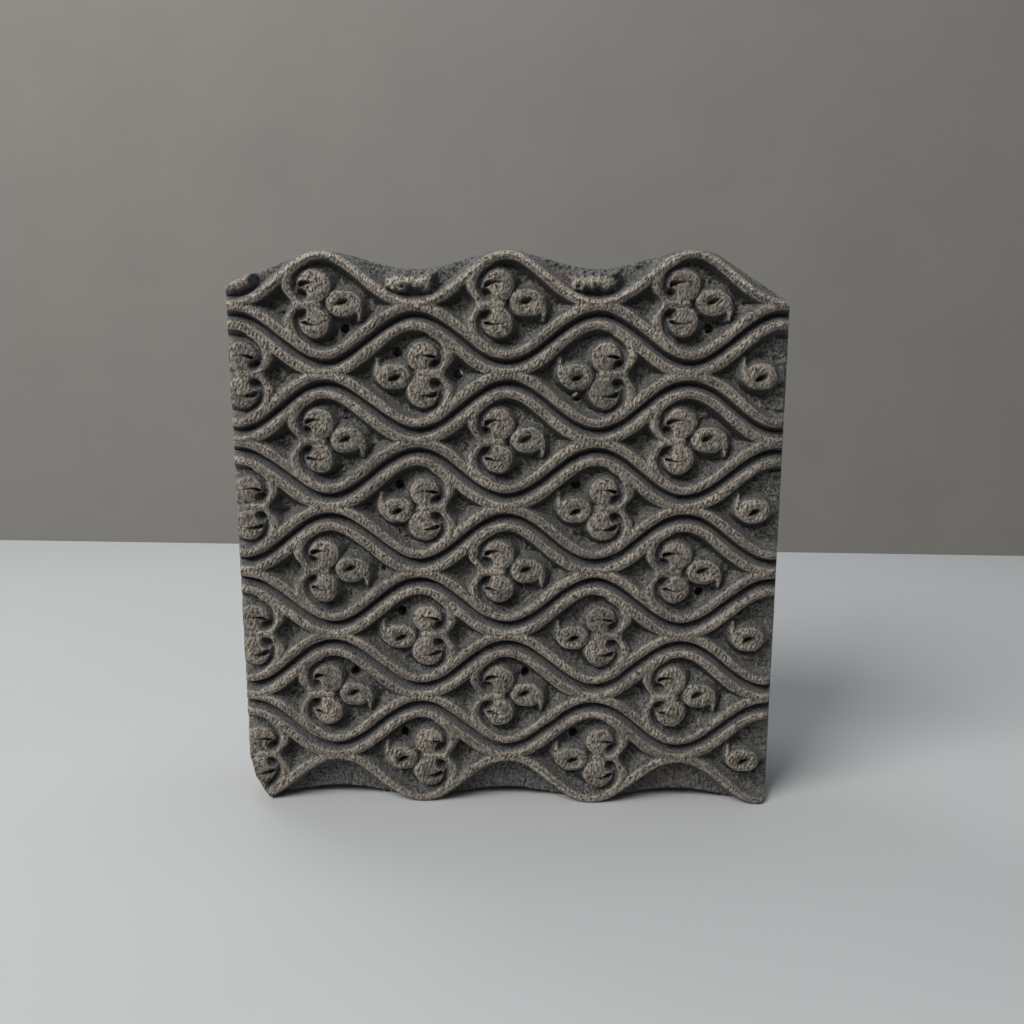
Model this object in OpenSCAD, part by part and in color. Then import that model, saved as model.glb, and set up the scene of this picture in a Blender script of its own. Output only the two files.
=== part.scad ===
// Hand block for printing cloth, standing on its lower edge with its printing face towards -Y.
// The face carries rows of ogee cells. Each row is two mirrored wave ridges that meet at the sides of
// every cell, and each cell holds a pair of lobes in a bracket and one curled lobe.
// The grip on the back is a bar on two cleats, let in and nailed.

/* [Pattern] */
// Width of one cell, from one meeting of its ridges to the next
cell_w = 50; // [42:1:64]
// Cells across the block in the top row
cells_across = 3; // [3:1:5]
// Rows of cells, each shifted by half a cell from the one above
row_count = 8; // [6:2:12]
// Height from one row to the next
row_pitch = 18.6; // [16:0.1:24]
// Width of a ridge, which is the line that it prints
ridge_w = 2.8; // [1.6:0.1:3.6]
// Clear width of the channel between two rows
channel_w = 2.2; // [1.4:0.1:4]
// Distance between the middles of the two ridges of a row where they meet
meeting_gap = 0.6; // [0.2:0.1:1.6]

/* [Pair of lobes] */
// Radius of the upper lobe
upper_lobe_r = 4.3; // [3:0.1:4.8]
// Distance of the upper lobe to the left of the middle of its cell
upper_lobe_x = 2; // [0.5:0.1:3.5]
// Height of the upper lobe above the middle of its cell
upper_lobe_z = 5; // [4.2:0.1:5.6]
// Radius of the lower lobe
lower_lobe_r = 4.1; // [3:0.1:4.8]
// Distance of the lower lobe to the left of the middle of its cell
lower_lobe_x = 2.2; // [0.5:0.1:3.5]
// Depth of the lower lobe below the middle of its cell
lower_lobe_z = 4.7; // [4:0.1:5.4]
// Width of the bracket beside the pair
bracket_w = 2.5; // [1.2:0.1:2.8]
// Clear width of the moat between a lobe and the bracket
moat_w = 1.8; // [1.2:0.1:3]
// Width of the neck that ties the pair to the bracket
neck_w = 1.8; // [1:0.1:2.6]
// Radius of the crescent slit in a lobe
slit_r = 2.6; // [1.8:0.1:3]
// Width of a slit at its widest
slit_w = 1.1; // [0.6:0.1:1.6]
// Depth of a slit
slit_depth = 3; // [1.5:0.5:4.5]

/* [Curled lobe] */
// Half height of the curled lobe
curl_r = 3.5; // [2.6:0.1:4]
// Length of its straight middle
curl_l = 2; // [0.6:0.1:3.4]
// Distance of the curled lobe to the right of the middle of its cell
curl_x = 5.7; // [5:0.1:7]
// Height of the curled lobe above the middle of its cell
curl_z = 0.6; // [-0.6:0.1:1.4]
// Width of the tail that curls round it
tail_w = 1.3; // [0.8:0.1:2]
// Clear width between the curled lobe and its tail
tail_gap = 0.7; // [0.4:0.1:1.2]

/* [Block] */
// Thickness of the block, from printing face to back
block_t = 30; // [26:1:45]
// Depth of the channels below the printing face
channel_depth = 5.5; // [3:0.5:8]
// Depth of the ground in the cells and along the upper and lower edges
ground_depth = 7; // [5:0.5:9]
// Depth of the scallops along the upper edge
upper_scallop = 4.6; // [1:0.2:8]
// Depth of the scallops along the lower edge
lower_scallop = 3.2; // [1:0.2:6]
// How far the upper and lower edges are trimmed into the outermost ridges
edge_trim = 0.35; // [0.1:0.05:0.8]
// Width of the printing face beyond the outermost cells, on each side
edge_margin = 0.75; // [0.05:0.05:2]
// How much further the sides stand out behind the relief than at the printing face
side_flare = 2.2; // [0.5:0.1:4]
// Depth below the printing face at which the sides reach their full width
flare_depth = 8; // [5:0.5:14]
// Width of the slanted cut at the upper left corner
upper_corner_w = 21; // [8:1:24]
// Height of that cut at the side of the block
upper_corner_h = 9.6; // [5:0.2:12]
// Width of the slanted cut at the upper right corner
right_corner_w = 20.5; // [12:0.5:24]
// Height of that cut at the side of the block
right_corner_h = 14.2; // [8:0.2:16]
// Width of the slanted cut at the lower left corner
lower_corner_w = 7.5; // [4:0.5:10]
// Height of that cut at the side of the block
lower_corner_h = 14; // [6:0.5:18]
// Length of the leftover ridges in the upper scallops
leftover_l = 11; // [4:0.5:16]
// Width of the bevel on the upright back edges
back_bevel = 3; // [1:0.5:6]

/* [Vents] */
// Bore of the vents, drilled right through from the ground
vent_d = 2.6; // [1.5:0.1:3.4]
// Distance of a vent to the right of the middle of its cell
vent_x = 5.4; // [3:0.1:7]
// Distance of a vent above or below the middle of its cell
vent_z = 6.2; // [5.8:0.1:7]
// Distance of a vent in a pocket beside a bracket to the left of the middle of its cell
pocket_x = 11.6; // [11.2:0.1:12.4]

/* [Grip] */
// Length of the bar
bar_l = 128; // [122:1:140]
// Width of the bar
bar_w = 28; // [26:1:36]
// Thickness of the bar
bar_t = 20; // [16:1:28]
// Radius of the bar's rounded upper edges
bar_round = 8.5; // [4:0.5:9]
// Radius of the bar's corners, seen from behind
bar_corner_r = 10; // [4:0.5:11]
// Radius of the bar's rounded upper ends
bar_end_r = 7; // [3:0.5:8]
// Width of the bevel along the bar's lower edges
bar_bevel = 2; // [0.5:0.5:3]
// Depth of the finger hollows along the sides of the bar
bar_waist = 2.4; // [0.6:0.1:3]
// Height of the finger gap between the block and the bar
finger_gap = 19; // [16:0.5:30]
// Clear length of the finger gap between the cleats
finger_l = 76; // [70:1:80]
// Thickness of a cleat at the bar
cleat_t = 17; // [15:0.5:18]
// How much thicker a cleat is at the block, on its outer side
cleat_splay = 4; // [1:0.5:8]
// Width of a cleat across the bar
cleat_w = 23; // [20:0.5:24]
// How deep a cleat is let into the back of the block
cleat_housing = 3; // [1.5:0.5:5]
// How deep a cleat is let into the bar
cleat_tongue = 3; // [1.5:0.5:5]
// Room all round a cleat in its housings
joint_room = 0.1; // [0.05:0.05:0.3]

/* [Nails] */
// Width of a nail's square shank under its head
nail_w = 2.6; // [1.8:0.1:3.2]
// Width of a nail's tip
nail_tip_w = 1; // [0.6:0.1:1.4]
// Width of a nail's head
nail_head_w = 6; // [4.5:0.1:6.4]
// Height of a nail's head
nail_head_h = 1.4; // [0.8:0.1:2]
// How far the cleat nails bite into the block
block_bite = 12; // [8:1:14]
// How far the bar nails bite into the cleats
cleat_bite = 13; // [8:1:15]
// Distance between the two nails of a cleat
cleat_nail_gap = 15; // [13:0.5:16]
// Distance between the two bar nails over a cleat
bar_nail_gap = 8; // [7.6:0.1:9]
// Room all round a nail in its hole
nail_room = 0.05; // [0.02:0.01:0.1]

/* [Hidden] */

// Smoothness of circles and of the long hollows, and steps along one cell of a wave
$fn = 64;
hollow_fn = 360;
wave_steps = 20;
// How far a cutting shape passes the face that it cuts
over = 1;

// Directions of the bracket's two arcs, of the tail, of its root and of the eye, in degrees
upper_bracket = [112, 220];
lower_bracket = [140, 244];
tail_turn = [-55, 25];
tail_root = 12;
eye_tilt = 22;

// Cells that have a vent: row from the top, cell from the left, and 1 for a vent above the curled lobe,
// -1 for one below it and 0 for one in the pocket beside the bracket
vents = [
    [0, 0, -1], [0, 2, -1], [1, 1, -1], [1, 1, 0], [1, 2, 1], [3, 1, -1], [3, 2, -1],
    [4, 2, -1], [5, 1, -1], [6, 0, 1], [6, 1, 1], [7, 1, -1], [7, 2, -1]
];

// Distance of a ridge from the middle of the channel beside it, rise of the waves, and height of half a row
ridge_off = (ridge_w + channel_w) / 2;
wave_rise = row_pitch / 2 - ridge_off - meeting_gap / 2;
row_reach = row_pitch / 2 + wave_rise - ridge_off + ridge_w / 2 - edge_trim;

// Outer sizes of the block and of the whole object
pattern_w = cells_across * cell_w;
block_w = pattern_w + 2 * edge_margin + 2 * side_flare;
block_h = (row_count - 1) * row_pitch + 2 * row_reach;
object_d = block_t + finger_gap + bar_t + nail_head_h;
face_y = -object_d / 2;
back_y = face_y + block_t;
bar_y = back_y + finger_gap;
crown_y = bar_y + bar_t;
grip_z = block_h / 2;

// A cleat stands at each end of the finger gap, from its housing in the block to that in the bar
cleat_foot_y = back_y - cleat_housing + joint_room;
cleat_top_y = bar_y + cleat_tongue - joint_room;
nail_x = finger_l / 2 + cleat_t / 2;
cleat_nail_l = block_bite + cleat_top_y - nail_head_h - back_y;
bar_nail_l = cleat_bite + crown_y - cleat_top_y;

// Colours of the wood and the iron
face_wood = [0.36, 0.32, 0.28];
grip_wood = [0.42, 0.34, 0.27];
nail_iron = [0.27, 0.25, 0.24];

// Height of the middle of a row, counted down from the top row, which is row 0
function row_z(row) = block_h - row_reach - row * row_pitch;

// A row is shifted by half a cell when its number is odd
function is_shifted(row) = abs(row) % 2 == 1;

// Left end of the first cell of a row
function row_start(row) = -pattern_w / 2 - (is_shifted(row) ? cell_w / 2 : 0);

// Angle along the waves of a row, with 0 in the middle of a cell
function wave_angle(row, x) = 360 * (x - row_start(row)) / cell_w - 180;

// Slope of a wave of a row at x, where side is 1 for its upper wave and -1 for its lower one
function wave_slope(row, side, x) = -side * wave_rise * sin(wave_angle(row, x)) * 2 * PI / cell_w;

// Height of that wave at x, which keeps its distance square to the middle of the channel beside it
function wave_z(row, side, x) =
    let (slope = wave_slope(row, side, x), off = ridge_off * sqrt(1 + slope * slope))
    row_z(row) + side * (row_pitch / 2 + wave_rise * cos(wave_angle(row, x)) - off);

// Point off a wave at x, by the given distance square to the wave
function off_wave(row, side, x, distance) =
    let (slope = wave_slope(row, side, x), run = sqrt(1 + slope * slope))
    [x - distance * slope / run, wave_z(row, side, x) + distance / run];

// Stations from x0 to x1, evenly spaced, with both ends
function stations(x0, x1) =
    let (count = ceil((x1 - x0) * wave_steps / cell_w))
    [for (i = [0:count]) x0 + (x1 - x0) * i / count];

// Stations across the block, with some room on both sides
across = stations(-block_w / 2 - over, block_w / 2 + over);

// Line along the middle of a wave, right across the block
function wave_line(row, side) = [for (x = across) [x, wave_z(row, side, x)]];

// Straight line right across the block
function level_line(z) = [[across[0], z], [across[len(across) - 1], z]];

function reversed(list) = [for (i = [len(list) - 1:-1:0]) list[i]];

// Area between two lines that both run from left to right
module between(upper, lower) {
    polygon(concat(upper, reversed(lower)));
}

// Ridge along a wave from x0 to x1
module ridge(row, side, x0, x1) {
    xs = stations(x0, x1);
    between([for (x = xs) off_wave(row, side, x, ridge_w / 2)],
        [for (x = xs) off_wave(row, side, x, -ridge_w / 2)]);
}

// Height of the scallops along the upper and the lower edge at x
function upper_edge_z(x) = block_h - upper_scallop * (1 - cos(wave_angle(0, x))) / 2;
function lower_edge_z(x) = max(0, lower_scallop * (1 + cos(wave_angle(0, x))) / 2 - edge_trim);

// Outline of the block: shallow scallops above and below, flat feet, and slanted corners
module block_outline() {
    left_x = -block_w / 2;
    right_x = block_w / 2;
    upper_edge = [
        for (x = stations(left_x + upper_corner_w, right_x - right_corner_w)) [x, upper_edge_z(x)]
    ];
    lower_edge = [for (x = stations(left_x + lower_corner_w, right_x)) [x, lower_edge_z(x)]];
    between(concat([[left_x, block_h - upper_corner_h]], upper_edge, [[right_x, block_h - right_corner_h]]),
        concat([[left_x, lower_corner_h]], lower_edge));
}

// Cuts off the front edge of one side, from the printing face back to the full width of the block
module flare_cut(side) {
    slope = [side * side_flare, flare_depth];
    front = [side * (block_w / 2 - side_flare), face_y] - slope / 2;
    translate([0, 0, -over]) linear_extrude(block_h + 2 * over)
        polygon([front, front + 2 * slope, front + [side * 2 * side_flare, 0]]);
}

// Part of a ring about the origin, between two directions less than half a turn apart
module ring_part(radius, width, turn) {
    reach = 2 * (radius + width);
    middle = (turn[0] + turn[1]) / 2;
    intersection() {
        difference() {
            circle(radius + width / 2);
            circle(radius - width / 2);
        }
        polygon([
            [0, 0],
            reach * [cos(turn[0]), sin(turn[0])],
            reach * [cos(middle), sin(middle)],
            reach * [cos(turn[1]), sin(turn[1])]
        ]);
    }
}

// Crescent with its horns down
module crescent() {
    difference() {
        circle(slit_r);
        translate([0, -slit_w]) circle(slit_r);
    }
}

// Upper and lower lobe with their bracket, drawn from the middle of a cell
module lobe_pair() {
    bracket_off = moat_w + bracket_w / 2;
    neck_l = upper_lobe_r + bracket_off;
    neck_z = (upper_lobe_z - upper_lobe_r - lower_lobe_z + lower_lobe_r) / 2;
    translate([-upper_lobe_x, upper_lobe_z]) {
        circle(upper_lobe_r);
        ring_part(upper_lobe_r + bracket_off, bracket_w, upper_bracket);
    }
    translate([-lower_lobe_x, -lower_lobe_z]) {
        circle(lower_lobe_r);
        ring_part(lower_lobe_r + bracket_off, bracket_w, lower_bracket);
    }
    translate([-upper_lobe_x - neck_l, neck_z - neck_w / 2]) square([neck_l, neck_w]);
}

// Curled lobe with its tail, drawn from the middle of a cell
module curled_lobe() {
    tail_r = curl_r + tail_gap + tail_w / 2;
    translate([curl_x, curl_z]) {
        for (side = [-1, 1]) translate([side * curl_l / 2, 0]) circle(curl_r);
        square([curl_l, 2 * curl_r], center = true);
        translate([curl_l / 2, 0]) {
            ring_part(tail_r, tail_w, tail_turn);
            rotate(tail_root) translate([0, -tail_w / 2]) square([tail_r, tail_w]);
        }
    }
}

// Crescent slit in each lobe of the pair, drawn from the middle of a cell
module pair_slits() {
    translate([-upper_lobe_x - slit_r / 2, upper_lobe_z - slit_w]) crescent();
    translate([-lower_lobe_x - slit_r / 2, slit_w - lower_lobe_z]) rotate(180) crescent();
}

// Eye of the curled lobe, drawn from the middle of a cell
module eye() {
    eye_off = slit_r - slit_w / 2;
    translate([curl_x, curl_z]) rotate(eye_tilt) intersection() {
        translate([0, -eye_off]) circle(slit_r);
        translate([0, eye_off]) circle(slit_r);
    }
}

// Place of a vent, measured from the middle of its cell
function vent_place(where) = where == 0 ? [-pocket_x, 0] : [vent_x, where * vent_z];

// Puts its children in the middle of a cell, half a turn round in a shifted row
module in_cell(row, cell) {
    translate([row_start(row) + (cell + 0.5) * cell_w, row_z(row)])
        rotate(is_shifted(row) ? 180 : 0) children();
}

// Puts its children in every cell with a pair of lobes: all but the half cells on the right
module in_pair_cells() {
    for (row = [0:row_count - 1], cell = [0:cells_across - 1]) in_cell(row, cell) children();
}

// Puts its children in every cell with a curled lobe: all but the half cells on the left
module in_curl_cells() {
    for (row = [0:row_count - 1], cell = [0:cells_across - 1])
        in_cell(row, is_shifted(row) ? cell + 1 : cell) children();
}

// All that stands at the level of the printing face
module relief() {
    for (row = [0:row_count - 1], side = [-1, 1])
        ridge(row, side, across[0] - over, across[len(across) - 1] + over);
    for (i = [0:cells_across - 1]) {
        middle = row_start(0) + i * cell_w;
        ridge(-1, -1, middle - leftover_l / 2, middle + leftover_l / 2);
    }
    in_pair_cells() lobe_pair();
    in_curl_cells() curled_lobe();
}

// Areas of the cells and of the edges above and below them, out to the middles of the ridges
module ground_areas() {
    for (row = [0:row_count - 1]) between(wave_line(row, 1), wave_line(row, -1));
    between(level_line(block_h + over), wave_line(0, 1));
    between(wave_line(row_count - 1, -1), level_line(-over));
}

// Areas of the channels between the rows, out to the middles of the ridges
module channel_areas() {
    for (row = [0:row_count - 2]) between(wave_line(row, -1), wave_line(row + 1, 1));
}

// Carries a front view back from the printing face to a depth below it
module sunk(depth) {
    translate([0, face_y + depth, 0]) rotate([90, 0, 0]) linear_extrude(depth + over) children();
}

// Four-sided taper along +Y
module square_taper(length, start_w, end_w) {
    side = [[-start_w / 2, 0], [start_w / 2, 0], [end_w / 2, length], [-end_w / 2, length]];
    intersection() {
        linear_extrude(2 * max(start_w, end_w), center = true) polygon(side);
        rotate([0, 90, 0]) linear_extrude(2 * max(start_w, end_w), center = true) polygon(side);
    }
}

// Forged nail along +Y, its tip at the origin
module nail(length) {
    square_taper(length, nail_tip_w, nail_w);
    translate([0, length, 0]) square_taper(nail_head_h, nail_head_w, nail_w);
}

// Hole for that nail, with the recess for its head
module nail_hole(length) {
    translate([0, -nail_room, 0])
        square_taper(length + nail_room, nail_tip_w + 2 * nail_room, nail_w + 2 * nail_room);
    head_w = nail_head_w + 2 * nail_room;
    translate([-head_w / 2, length - nail_room, -head_w / 2]) cube([head_w, nail_head_h + over, head_w]);
}

// Puts its children at the tips of the nails of the cleat on one side
module at_cleat_nails(side) {
    for (end = [-1, 1])
        translate([side * nail_x, back_y - block_bite, grip_z + end * cleat_nail_gap / 2]) children();
}

// Puts its children at the tips of the bar nails over the cleat on one side
module at_bar_nails(side) {
    for (end = [-1, 1])
        translate([side * nail_x + end * bar_nail_gap / 2, cleat_top_y - cleat_bite, grip_z]) children();
}

// Body of the cleat on one side, grown by the given room
module cleat_body(side, room) {
    inner_x = finger_l / 2 - room;
    top_x = finger_l / 2 + cleat_t + room;
    foot_x = top_x + cleat_splay;
    translate([0, 0, grip_z]) linear_extrude(cleat_w + 2 * room, center = true)
        polygon([
            [side * inner_x, cleat_foot_y - room],
            [side * foot_x, cleat_foot_y - room],
            [side * foot_x, back_y],
            [side * top_x, bar_y],
            [side * top_x, cleat_top_y + room],
            [side * inner_x, cleat_top_y + room]
        ]);
}

// Cleat on one side, drilled for its own nails and for those of the bar
module cleat(side) {
    color(grip_wood) difference() {
        cleat_body(side, 0);
        at_cleat_nails(side) nail_hole(cleat_nail_l);
        at_bar_nails(side) nail_hole(bar_nail_l);
    }
}

// The carved block: relief, channels, ground, slits, vents and the housings of the cleats
module printing_block() {
    bevel_w = back_bevel * sqrt(2);
    color(face_wood) difference() {
        translate([0, back_y, 0]) rotate([90, 0, 0]) linear_extrude(block_t) block_outline();
        sunk(channel_depth) difference() {
            channel_areas();
            relief();
        }
        sunk(ground_depth) difference() {
            ground_areas();
            relief();
        }
        sunk(slit_depth) {
            in_pair_cells() pair_slits();
            in_curl_cells() eye();
        }
        sunk(block_t + over) for (vent = vents) if (vent[0] < row_count && vent[1] < cells_across)
            in_cell(vent[0], vent[1]) translate(vent_place(vent[2])) circle(d = vent_d);
        for (side = [-1, 1]) {
            flare_cut(side);
            cleat_body(side, joint_room);
            at_cleat_nails(side) nail_hole(cleat_nail_l);
            translate([side * block_w / 2, back_y, block_h / 2]) rotate(45)
                cube([bevel_w, bevel_w, block_h + 2 * over], center = true);
        }
    }
}

module left_cleat() {
    cleat(-1);
}

module right_cleat() {
    cleat(1);
}

// Rectangle about the origin with round corners
module rounded_plate(length, width, radius) {
    square([length - 2 * radius, width], center = true);
    square([length, width - 2 * radius], center = true);
    for (x = [-1, 1], y = [-1, 1])
        translate([x * (length / 2 - radius), y * (width / 2 - radius)]) circle(radius);
}

// Section of a loaf, flat below and round above, on the X axis
module loaf(width, height, radius) {
    translate([-width / 2, 0]) square([width, height - radius]);
    translate([radius - width / 2, 0]) square([width - 2 * radius, height]);
    for (side = [-1, 1]) translate([side * (width / 2 - radius), height - radius]) circle(radius);
}

// The bar: rounded along its upper edges, ends and corners, hollowed for the fingers, let onto the cleats
module grip_bar() {
    hollow_r = (pow(finger_l / 2, 2) + pow(bar_waist, 2)) / (2 * bar_waist);
    color(grip_wood) difference() {
        intersection() {
            translate([0, bar_y, grip_z]) rotate([-90, 0, 0])
                linear_extrude(bar_t) rounded_plate(bar_l, bar_w, bar_corner_r);
            translate([-bar_l / 2, bar_y, grip_z]) rotate([0, 90, 0])
                linear_extrude(bar_l) loaf(bar_w, bar_t, bar_round);
            translate([0, bar_y, grip_z]) linear_extrude(bar_w, center = true)
                loaf(bar_l, bar_t, bar_end_r);
        }
        for (side = [-1, 1]) {
            translate([0, bar_y - over, grip_z + side * (bar_w / 2 - bar_waist + hollow_r)])
                rotate([-90, 0, 0]) cylinder(bar_t + 2 * over, hollow_r, hollow_r, $fn = hollow_fn);
            translate([0, bar_y, grip_z + side * bar_w / 2]) rotate([45, 0, 0])
                cube([bar_l + 2 * over, bar_bevel * sqrt(2), bar_bevel * sqrt(2)], center = true);
            cleat_body(side, joint_room);
            at_bar_nails(side) nail_hole(bar_nail_l);
        }
    }
}

module cleat_nails() {
    color(nail_iron) for (side = [-1, 1]) at_cleat_nails(side) nail(cleat_nail_l);
}

module bar_nails() {
    color(nail_iron) for (side = [-1, 1]) at_bar_nails(side) nail(bar_nail_l);
}

printing_block();
left_cleat();
right_cleat();
grip_bar();
cleat_nails();
bar_nails();
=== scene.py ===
"""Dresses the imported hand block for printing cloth: carved face, block, grip, nails and studio.

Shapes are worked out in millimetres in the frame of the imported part, with the printing face towards -Y,
+X to the right and +Z up, and are put into meshes in metres.
"""
import logging
import math
from dataclasses import dataclass, field, replace
from enum import Enum, IntEnum
from typing import NamedTuple

import bpy
import numpy as np
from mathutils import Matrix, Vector


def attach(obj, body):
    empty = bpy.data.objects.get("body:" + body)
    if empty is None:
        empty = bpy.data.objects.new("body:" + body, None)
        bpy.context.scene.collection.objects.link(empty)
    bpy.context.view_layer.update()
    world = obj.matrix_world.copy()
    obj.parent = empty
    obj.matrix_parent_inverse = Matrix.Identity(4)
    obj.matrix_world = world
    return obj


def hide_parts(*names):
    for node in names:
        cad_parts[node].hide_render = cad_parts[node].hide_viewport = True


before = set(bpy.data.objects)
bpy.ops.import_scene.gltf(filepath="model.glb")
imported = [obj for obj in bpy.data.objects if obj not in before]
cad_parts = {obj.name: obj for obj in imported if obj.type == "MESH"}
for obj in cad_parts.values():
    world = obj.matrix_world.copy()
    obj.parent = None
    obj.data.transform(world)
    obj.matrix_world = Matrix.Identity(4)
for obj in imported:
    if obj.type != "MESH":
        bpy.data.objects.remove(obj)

# Metres in a millimetre, reach that stands for no form at all, and the usual IOR of wood
MM = 0.001
FAR_OUTSIDE = -9.0
WOOD_IOR = 1.5
FULL_TURN = 2 * np.pi
LOG = logging.getLogger("printing_block")
Array = np.ndarray
Faces = list[list[int]]
Pair = tuple[float, float]


class Side(IntEnum):
    """The two sides of the block, seen from its printing face."""

    LEFT = -1
    RIGHT = 1


class Wave(IntEnum):
    """The two ridges of a row of cells."""

    UPPER = 1
    LOWER = -1


class Slot(Enum):
    """Names for the material slots of the face, the grip and the nails."""

    FACE = "face_wood"
    GRIP = "grip_wood"
    NAIL = "nail_iron"


# Numbers


def unit(value: Array) -> Array:
    """Values kept between 0 and 1."""
    return np.clip(value, 0.0, 1.0)


def fade(way: Array) -> Array:
    """Falls evenly from 1 at 0 to 0 at 1, and stays there."""
    return unit(1.0 - way)


def smooth_step(low: float, high: float, value: Array) -> Array:
    """Eases from 0 at low to 1 at high.

    Args:
        low: Value at which the result is 0.
        high: Value at which the result is 1.
        value: Values to ease.

    Returns:
        The cubic 3t^2 - 2t^3 of the clipped share t of the way from low to high.
    """
    t = unit((value - low) / (high - low))
    return t * t * (3.0 - 2.0 * t)


def soft_max(a: Array, b: Array, blend: float) -> Array:
    """Larger of two values, with a fillet where they are close.

    Args:
        a: First values.
        b: Second values.
        blend: Difference below which the fillet starts.

    Returns:
        The larger value, plus a quarter of the blend times the squared closeness.
    """
    close = np.maximum(blend - np.abs(a - b), 0.0) / blend
    return np.maximum(a, b) + 0.25 * blend * close * close


def soft_min(a: Array, b: Array, blend: float) -> Array:
    """Smaller of two values, with a fillet where they are close, by the rule of soft_max."""
    return -soft_max(-a, -b, blend)


def squared_off(wave: Array, power: Array | float) -> Array:
    """Sine or cosine drawn out so that the circle becomes a rounded square of the given power."""
    return np.sign(wave) * np.abs(wave) ** (2 / power)


class Hand(Enum):
    """Unevenness that hands, tools and wear leave: seed, size of the grain and strength."""

    DRIFT_X = (11, 17.0, 1.0)
    DRIFT_Z = (12, 17.0, 1.0)
    RIDGE = (21, 7.0, 0.14)
    MOTIF_U = (41, 5.0, 0.25)
    MOTIF_V = (42, 5.0, 0.25)
    SLIT_U = (51, 6.0, 0.3)
    SLIT_V = (52, 6.0, 0.3)
    GOUGE = (61, 3.4, 0.7)
    SCOOP = (62, 2.6, 1.8)
    GROOVE = (63, 2.0, 0.12)
    GRIT = (64, 0.9, 0.22)
    CRUMBLE = (71, 2.2, 1.1)
    STUB = (71, 1.3, 0.25)
    LUMP = (72, 4.6, 0.9)
    RAG = (73, 1.6, 0.7)
    SCRATCH = (81, 1.3, 1.0)
    SCRATCH_BEND = (82, 4.0, 0.4)
    SCRATCH_PATCH = (83, 10.0, 1.0)
    PIT = (83, 0.9, 1.0)
    SWELL = (84, 9.0, 0.12)
    RUB = (88, 3.0, 0.5)
    SAW_FINE = (90, 1.1, 0.06)
    SAW = (91, 3.0, 0.12)
    PLANE_BEND = (92, 40.0, 2.0)
    PLANE = (93, 6.0, 0.08)
    PLANE_FINE = (94, 1.6, 0.05)
    DYE = (95, 2.0, 0.7)
    STROKE_BEND = (97, 8.0, 0.8)
    STROKE = (98, 0.9, 0.7)
    STROKE_PATCH = (99, 20.0, 1.0)
    GRAIN = (100, 0.7, 0.34)
    WHITTLE = (101, 9.0, 0.16)
    WHITTLE_FINE = (102, 3.5, 0.1)
    CHISEL = (111, 5.0, 0.1)
    HAMMER = (120, 1.2, 1.0)

    def at(self, a: Array, b: Array | float, step: int = 0) -> Array:
        """Gradient noise: random slopes on a square lattice, eased between the four nearest corners.

        Args:
            a: First coordinates in millimetres.
            b: Second coordinates in millimetres.
            step: Added to the seed.

        Returns:
            Values that lie about between minus and plus the strength and change over the grain size.
        """
        seed, grain, strength = self.value
        lattice = 64
        turn = np.random.default_rng(seed + step).uniform(0.0, FULL_TURN, (lattice, lattice))
        a, b = np.broadcast_arrays(np.asarray(a) / grain, np.asarray(b) / grain)
        ia, ib = np.floor(a).astype(int), np.floor(b).astype(int)
        fa, fb = a - ia, b - ib
        ea, eb = (f * f * f * (f * (f * 6.0 - 15.0) + 10.0) for f in (fa, fb))

        def corner(da: int, db: int) -> Array:
            """Slope of one corner times the way from it."""
            angle = turn[(ia + da) % lattice, (ib + db) % lattice]
            return np.cos(angle) * (fa - da) + np.sin(angle) * (fb - db)

        low = corner(0, 0) * (1 - ea) + corner(1, 0) * ea
        high = corner(0, 1) * (1 - ea) + corner(1, 1) * ea
        return strength * (1.5 * (low * (1 - eb) + high * eb))


# Meshes


def new_piece(name: str, points: Array, faces: Faces, marks: dict[str, Array] | None = None,
              crease: float = 55.0) -> bpy.types.Object:
    """Makes a smooth mesh object at the origin from points in millimetres.

    Args:
        name: Name of the piece.
        points: Points, one row each.
        faces: Point numbers of each face, counter-clockwise from outside.
        marks: Values for each point, by attribute name.
        crease: Angle in degrees past which an edge is drawn sharp.

    Returns:
        The new object.
    """
    mesh = bpy.data.meshes.new(name)
    mesh.from_pydata((points * MM).tolist(), [], faces)
    for mark, values in (marks or {}).items():
        mesh.attributes.new(mark, "FLOAT", "POINT").data.foreach_set("value", values.astype(np.float32))
    shade(mesh, crease)
    piece = bpy.data.objects.new(name, mesh)
    bpy.context.scene.collection.objects.link(piece)
    return piece


def shade(mesh: bpy.types.Mesh, crease: float) -> None:
    """Shades a mesh smooth, with edges past an angle in degrees drawn sharp."""
    mesh.shade_smooth()
    mesh.set_sharp_from_angle(angle=math.radians(crease))


def rim(grid: Array) -> Array:
    """Values along the rim of a grid: lower edge, right side, upper edge, left side, each point once."""
    return np.concatenate([grid[:, 0], grid[-1, 1:], grid[-2::-1, -1], grid[0, -2:0:-1]])


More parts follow.
